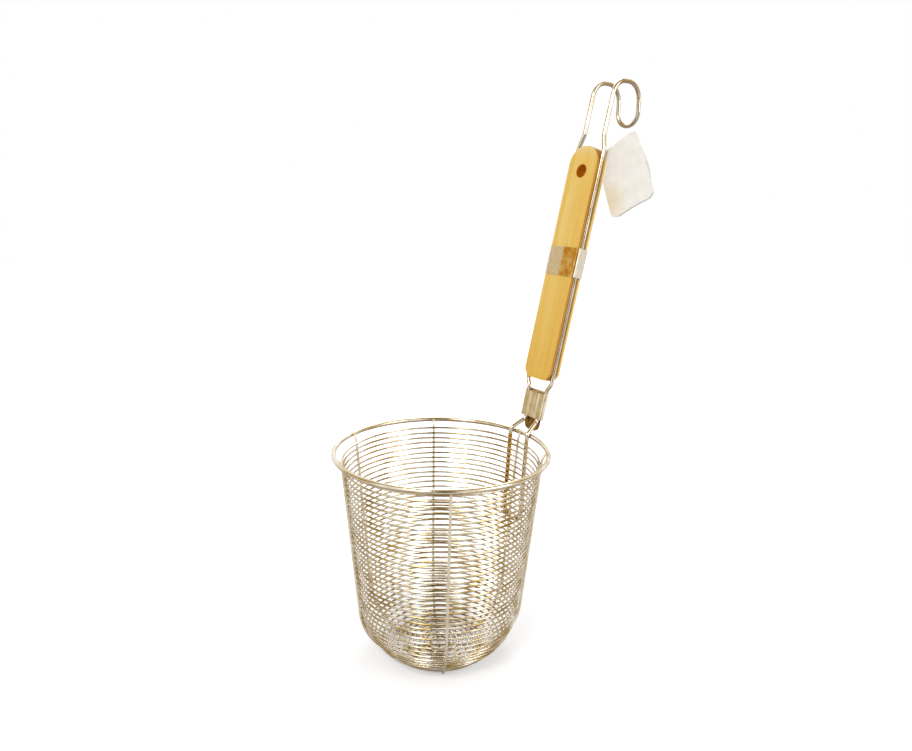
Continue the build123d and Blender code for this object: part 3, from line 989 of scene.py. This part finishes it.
def fold(side):
    """The sheet's turn round an outer wire: from front to back on side 1, back to front on side -1."""
    points = []
    for k in range(1, FOLD_STEPS):
        a = math.pi * k / FOLD_STEPS
        across = side * (HANDLE_LEG + SLEEVE_HALF * math.sin(a))
        forwards = side * math.cos(a)
        points.append((across, -SLEEVE_HALF * forwards, (1 + forwards) / 2))
    return points


def sleeve_section():
    """The sleeve's outer line as (across, through) with the share of the front at each point."""
    front = []
    for across in steps(-HANDLE_LEG, HANDLE_LEG, FRONT_POINTS):
        share = max(0.0, 1 - (across / VALLEY_REACH) ** 2)
        ridges = RIDGE_HEIGHT * math.cos(2 * math.pi * across / RIDGE_PITCH)
        front.append((across, -SLEEVE_HALF + share ** VALLEY_FORM * (VALLEY_DEPTH + ridges), 1.0))
    back = [(across, SLEEVE_HALF, 0.0) for across in steps(HANDLE_LEG, -HANDLE_LEG, BACK_POINTS)]
    return front + fold(1) + back + fold(-1)


section = sleeve_section()
print("points in the sleeve's section:", len(section))

# %% Sleeve and tongue
FRONT_DIP = 1.0 * MM         # of the front edge at the top
BACK_RISE = 0.9 * MM         # of the back edge, which shows over it
SLEEVE_ROWS = 9
TONGUE_LENGTH = 9.4 * MM
TONGUE_HALF_WIDTH = 7.75 * MM
TONGUE_ROUNDING = 5.0 * MM
TONGUE_ROWS = 24

sleeve_rows = []
for share in steps(0.0, 1.0, SLEEVE_ROWS):
    row = []
    for across, through, front in section:
        dip = front * FRONT_DIP * max(0.0, 1 - (across / (HANDLE_LEG + SLEEVE_HALF)) ** 4)
        length = SLEEVE_LENGTH - dip + (1 - front) * BACK_RISE
        row.append(on_handle(across, through, -SLEEVE_TOP - SLEEVE_LENGTH + share * length))
    sleeve_rows.append(row)
sleeve = thin_sheet("sleeve", sleeve_rows, SLEEVE_SHEET, closed=True)

tongue_rows = []
for depth in steps(-SLEEVE_SHEET, TONGUE_LENGTH, TONGUE_ROWS):
    reach = rounded_end(depth, TONGUE_LENGTH, TONGUE_HALF_WIDTH, TONGUE_ROUNDING)
    down = -SLEEVE_TOP - SLEEVE_LENGTH - depth
    tongue_rows.append([on_handle(across, SLEEVE_HALF, down) for across in steps(-reach, reach, BACK_POINTS)])
tongue = thin_sheet("sleeve_tongue", tongue_rows, SLEEVE_SHEET)
print("sleeve:", len(sleeve.data.polygons), "faces, tongue:", len(tongue.data.polygons))

# %% [markdown]
# ## Sheet finish
#
# Sleeve and band are of stainless sheet, dulled by scratches that run one way over soft patches of tone:
# along the sleeve and round the band. One helper makes both finishes, because only the colours, the patches
# and the way of the scratches differ. The tongue gets a dark brown that is painted shade.

# %% Sheet finish
SHEET_ROUGHNESS = (0.22, 0.42)
ALONG_SCRATCHES = (0.4 * MM, 0.4 * MM, 12 * MM)      # through, across and along the handle
ROUND_SCRATCHES = (9 * MM, 9 * MM, 0.5 * MM)
SLEEVE_PATCHES = 6 * MM
SHEET_TONES = (0.35, 0.65)       # of the noise, where a patch is fully dull and fully bright


def sheet_finish(name, bright, dull, patch_size, scratch_size):
    """Brushed sheet: scratches in one direction over soft patches of tone."""
    material, shader = new_material(name)
    tree = material.node_tree
    patches = noise(tree, placed(tree, (patch_size,) * 3), detail=4.0)
    tree.links.new(ramp(tree, patches, *zip(SHEET_TONES, (dull, bright))), shader.inputs["Base Color"])
    scratches = noise(tree, placed(tree, scratch_size, TO_HANDLE), detail=4.0)
    tree.links.new(spread(tree, scratches, *SHEET_ROUGHNESS), shader.inputs["Roughness"])
    bump(tree, shader, scratches, strength=0.2)
    shader.inputs["Metallic"].default_value = 1.0
    return material


sleeve_finish = sheet_finish(
    "pressed sleeve sheet", (0.92, 0.84, 0.64), (0.76, 0.64, 0.42), SLEEVE_PATCHES, ALONG_SCRATCHES
)
# Painted shade: the tongue's sheet is a dark brown.
shaded_tongue_finish = sheet_finish(
    "tongue sheet in painted shade", (0.46, 0.29, 0.09), (0.25, 0.13, 0.025), SLEEVE_PATCHES, ALONG_SCRATCHES
)
stands_for(sleeve, sleeve_finish, "sleeve_sheet", "neck_sleeve")
stands_for(tongue, shaded_tongue_finish, "sleeve_sheet", "neck_sleeve")
print("sheet finishes:", sleeve_finish.name, "|", shaded_tongue_finish.name)

# %% [markdown]
# ## Band
#
# The band is rolled sheet, wrapped round the wood and both side wires. Drawing it tight bulges it a little,
# so that one half of its front mirrors the bright side of the room and the other half the golden side. The
# corner where it turns round the wire mirrors the dark. Its solid already has the right form, but a flat
# front, so the finish lays these tones where the bulge would mirror them.

# %% Band finish
BAND_PATCHES = 3 * MM
BLOTCH_SIZE = (4.5 * MM, 5.0 * MM, 4.5 * MM)
GOLD_TONES = ((0.36, (0.76, 0.38, 0.05)), (0.52, (0.92, 0.60, 0.18)), (0.66, (0.96, 0.76, 0.40)))
GOLDEN_SIDE = (0.4 * MM, -0.8 * MM)      # across the handle, where the gold begins and is full
FRONT_FACE = (-0.40 * WOOD_THICKNESS, -0.46 * WOOD_THICKNESS)        # the same through the handle
CORNER_BEGINS = (0.25, 0.45)     # how much a surface faces sideways where the dark line fades in
CORNER_ENDS = (0.90, 0.75)       # and where it fades out
CORNER_COLOUR = (0.30, 0.15, 0.02)
CORNER_SHARE = 0.8

band_finish = sheet_finish(
    "wrapped band sheet", (1.00, 0.98, 0.90), (0.92, 0.87, 0.74), BAND_PATCHES, ROUND_SCRATCHES
)
tree, shader, silver = present_colour(band_finish)
gold = ramp(tree, noise(tree, placed(tree, BLOTCH_SIZE), detail=2.5), *GOLD_TONES)
golden_half = fades(tree, coordinate(tree, "Y", 1.0, WOOD_FOOT), *GOLDEN_SIDE)
on_front = fades(tree, coordinate(tree, "X", 1.0, WOOD_FOOT), *FRONT_FACE)
two_tones = blended(tree, product(tree, golden_half, on_front), silver, gold)
sideways = facing_sideways(tree)
corner_line = product(tree, fades(tree, sideways, *CORNER_BEGINS), fades(tree, sideways, *CORNER_ENDS))
with_corner = blended(tree, spread(tree, corner_line, 0.0, CORNER_SHARE), two_tones, CORNER_COLOUR)
tree.links.new(with_corner, shader.inputs["Base Color"])
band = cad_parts["wood_band"]
band.data.materials.clear()
band.data.materials.append(band_finish)
print("band:", len(band.data.polygons), "faces, with", band_finish.name)

# %% [markdown]
# ## Paper tag
#
# The tag is one strip of uncoated paper, folded in two and tucked behind the wood. Its corners are cut round,
# its leaves have begun to curl, and a painted shadow darkens the corner next to the wood. It is bare. A flat
# card would look like plastic, so a leaf curls and waves by a millimetre or so, and the back one stands open.

# %% Tag leaves
TAG_HALF_WIDTH = 17.5 * MM
TAG_LEAVES = (50.0 * MM, 49.2 * MM)
TAG_PAPER = 0.35 * MM
TAG_ROUNDING = 4.5 * MM
TAG_BULGE = 0.9 * MM         # of the right edge, halfway down
TAG_SKEW = 1.2 * MM          # how much longer the right edge is than the left one
TAG_FOLD = Vector((17.7, 4.55, 168.3)) * MM      # across, through and along the handle
TAG_TILT = math.radians(33)
LEAF_ROWS = 41
LEAF_COLUMNS = 15
EDGE_WAVES = 9               # radians of wave along a leaf's right edge
OPENING_FORM = 1.2           # over 1 a leaf bends open from the fold


def on_tag(sideways, lift, down):
    """A place on the tag: along its fold, off its front leaf and down from the fold."""
    across = TAG_FOLD.x + sideways * math.cos(TAG_TILT) + down * math.sin(TAG_TILT)
    along = TAG_FOLD.z + sideways * math.sin(TAG_TILT) - down * math.cos(TAG_TILT)
    return on_handle(across, TAG_FOLD.y + lift, along)


def leaf(name, length, opening, curl, waviness):
    """One leaf, its right edge slightly wavy, its right side curled and its corners rounded."""
    rows = []
    for depth in steps(0.0, length, LEAF_ROWS):
        reach = rounded_end(depth, length, TAG_HALF_WIDTH, TAG_ROUNDING)
        reach = min(reach, rounded_end(length - depth, length, TAG_HALF_WIDTH, TAG_ROUNDING))
        share = depth / length
        waves = waviness * math.sin(EDGE_WAVES * share) * share + TAG_BULGE * math.sin(math.pi * share)
        row = []
        for side in steps(-1.0, 1.0, LEAF_COLUMNS):
            lift = opening * share ** OPENING_FORM + curl * share * share * (0.5 + 0.5 * side)
            right = max(0.0, side)
            row.append(on_tag(side * reach + waves * right, lift, depth + TAG_SKEW * right * share))
        rows.append(row)
    return thin_sheet(name, rows, TAG_PAPER)


front_leaf = leaf("tag_front_leaf", TAG_LEAVES[0], opening=0.0, curl=0.8 * MM, waviness=0.35 * MM)
back_leaf = leaf("tag_back_leaf", TAG_LEAVES[1], opening=2.6 * MM, curl=0.9 * MM, waviness=-1.3 * MM)
print("tag leaves:", len(front_leaf.data.polygons), "faces each")

# %% Paper finish
CLOUD_SIZE = 6 * MM
PAPER_FIBRE = 0.5 * MM
PAPER_TONES = ((0.3, (0.86, 0.82, 0.74)), (0.7, (0.94, 0.90, 0.83)))
PAPER_ROUGHNESS = 0.85
TAG_SHADOW_COLOUR = (0.80, 0.64, 0.38)
TAG_SHADOW_DOWN = 0.75             # share of the front leaf's length, at its left edge
TAG_SHADOW_REACH = (18 * MM, 3 * MM)       # from there, where the painted shadow begins and is full
TAG_SHADOW_SHARE = 0.75

paper_finish, shader = new_material("uncoated paper")
tree = paper_finish.node_tree
paper = ramp(tree, noise(tree, placed(tree, (CLOUD_SIZE,) * 3), detail=6.0), *PAPER_TONES)
# Painted shadow: a tan patch at the front leaf's left edge, next to the wood.
tag_shadow_place = on_tag(-TAG_HALF_WIDTH, 0.0, TAG_LEAVES[0] * TAG_SHADOW_DOWN)
from_tag_shadow = length_of(tree, placed(tree, origin=tag_shadow_place))
tint = spread(tree, fades(tree, from_tag_shadow, *TAG_SHADOW_REACH), 0.0, TAG_SHADOW_SHARE)
tree.links.new(blended(tree, tint, paper, TAG_SHADOW_COLOUR), shader.inputs["Base Color"])
shader.inputs["Roughness"].default_value = PAPER_ROUGHNESS
bump(tree, shader, noise(tree, placed(tree, (PAPER_FIBRE,) * 3), detail=5.0), strength=0.3)
for piece in (front_leaf, back_leaf):
    stands_for(piece, paper_finish, "paper", "tag")
print("the shadowed corner is at height in mm:", round(tag_shadow_place.z / MM, 1))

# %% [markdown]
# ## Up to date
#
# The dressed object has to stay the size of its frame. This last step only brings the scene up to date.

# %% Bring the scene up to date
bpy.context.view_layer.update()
